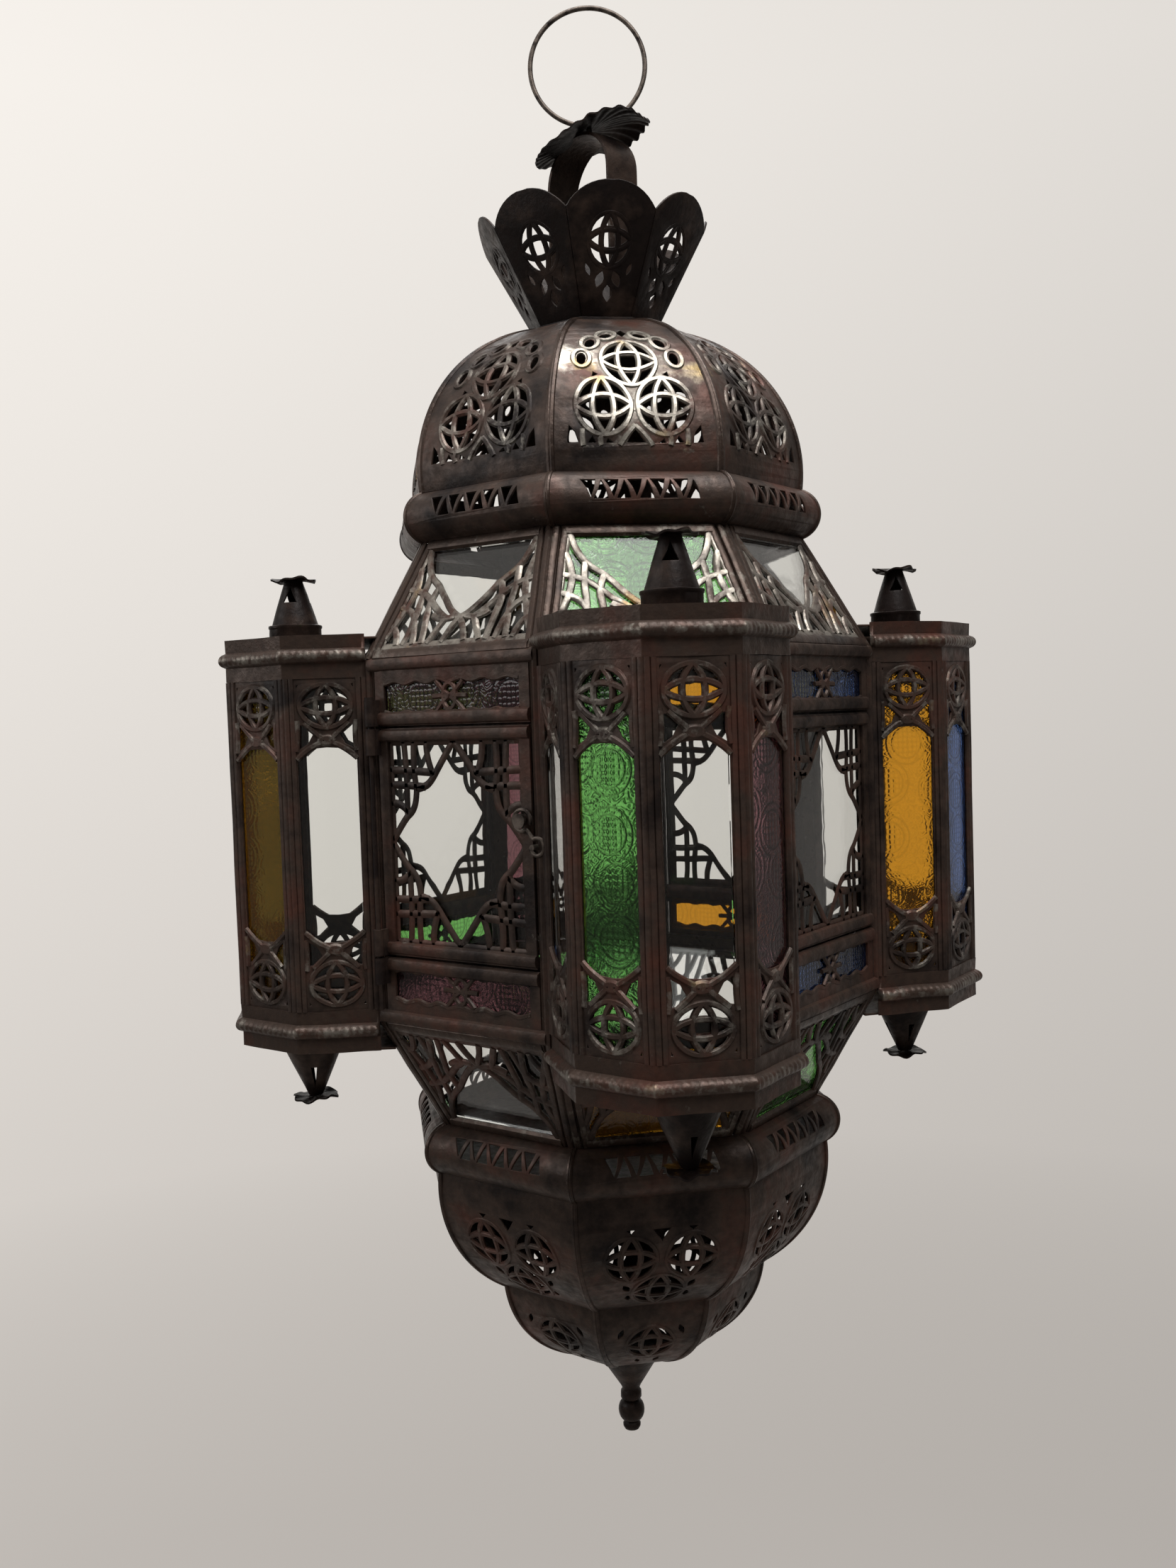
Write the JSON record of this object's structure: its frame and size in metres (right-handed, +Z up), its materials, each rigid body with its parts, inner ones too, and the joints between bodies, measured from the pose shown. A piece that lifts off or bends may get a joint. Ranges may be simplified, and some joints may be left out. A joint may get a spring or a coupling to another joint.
{
  "type": "candle lantern",
  "caption": "Octagonal hanging candle lantern of pierced tin and coloured glass, with corner turrets, a hinged star-window door, a wire latch and a hanging ring.",
  "frame": {"origin": "the inside top of the hanging ring, where a hook carries the lantern", "axes": "+Z up; the door faces -Y, with its hinge towards -X and its latch towards +X"},
  "size_m": [0.272, 0.272, 0.6638],
  "materials": {
    "patinated_tin": "matt rust-brown patina on pierced tin plate",
    "dark_tin": "matt dark brown patina on tin plate",
    "worn_tin": "worn silvery tin with rust in the folds",
    "iron_wire": "dull drawn iron wire",
    "clear_glass": "clear, slightly dusty",
    "green_glass": "dark green, pressed",
    "amber_glass": "amber, pressed",
    "purple_glass": "purple, pressed",
    "blue_glass": "cobalt blue, pressed"
  },
  "bodies": {
    "ring": {"hanging_ring": "iron_wire"},
    "lantern": {"handle_arch": "dark_tin", "pleated_cap": "dark_tin", "neck_plate": "dark_tin", "crown_petals": "dark_tin", "candle_tray": "dark_tin", "candle_cup": "dark_tin", "upper_collar": "worn_tin", "lower_collar": "worn_tin", "spike_finial": "worn_tin", "upper_cone_ribs": "worn_tin", "lower_cone_ribs": "worn_tin", "body_top_rail": "worn_tin", "body_bottom_rail": "worn_tin", "body_posts": "worn_tin", "dome_gores": "patinated_tin", "bowl_gores": "patinated_tin", "small_bowl_gores": "patinated_tin", "upper_cone_filigree": "patinated_tin", "lower_cone_filigree": "patinated_tin", "band_frames": "patinated_tin", "star_frame": "patinated_tin", "star_filigree": "patinated_tin", "front_right_turret_frame": "patinated_tin", "back_right_turret_frame": "patinated_tin", "back_left_turret_frame": "patinated_tin", "front_left_turret_frame": "patinated_tin", "front_right_turret_filigree": "patinated_tin", "back_right_turret_filigree": "patinated_tin", "back_left_turret_filigree": "patinated_tin", "front_left_turret_filigree": "patinated_tin", "turret_top_finials": "patinated_tin", "turret_bottom_finials": "patinated_tin", "hanging_eye": "iron_wire", "hinge_eyes": "iron_wire", "hinge_pin": "iron_wire", "latch_peg": "iron_wire", "upper_cone_clear_panes": "clear_glass", "lower_cone_clear_panes": "clear_glass", "star_glass": "clear_glass", "turret_glass_clear": "clear_glass", "upper_cone_green_panes": "green_glass", "lower_cone_green_panes": "green_glass", "band_glass_green": "green_glass", "turret_glass_green": "green_glass", "lower_cone_amber_panes": "amber_glass", "band_glass_amber": "amber_glass", "turret_glass_amber": "amber_glass", "band_glass_purple": "purple_glass", "turret_glass_purple": "purple_glass", "band_glass_blue": "blue_glass", "turret_glass_blue": "blue_glass"},
    "door": {"door_frame": "patinated_tin", "door_filigree": "patinated_tin", "door_glass": "clear_glass", "door_knuckles": "iron_wire", "latch_stud": "iron_wire"},
    "latch": {"latch_hook": "iron_wire"}
  },
  "joints": [
    {"name": "lantern_swing", "type": "hinge", "parent": "ring", "child": "lantern", "pos_m": [0, 0, -0.0513], "axis": [0.8192, 0.5736, 0], "range_deg": [-60, 60]},
    {"name": "door_hinge", "type": "hinge", "parent": "lantern", "child": "door", "pos_m": [-0.04062, -0.1152, -0.3701], "axis": [0, 0, -1], "range_deg": [0, 120]},
    {"name": "latch_swing", "type": "hinge", "parent": "door", "child": "latch", "pos_m": [0.03622, -0.1122, -0.3596], "axis": [0, -1, 0], "range_deg": [0, 110]}
  ]
}
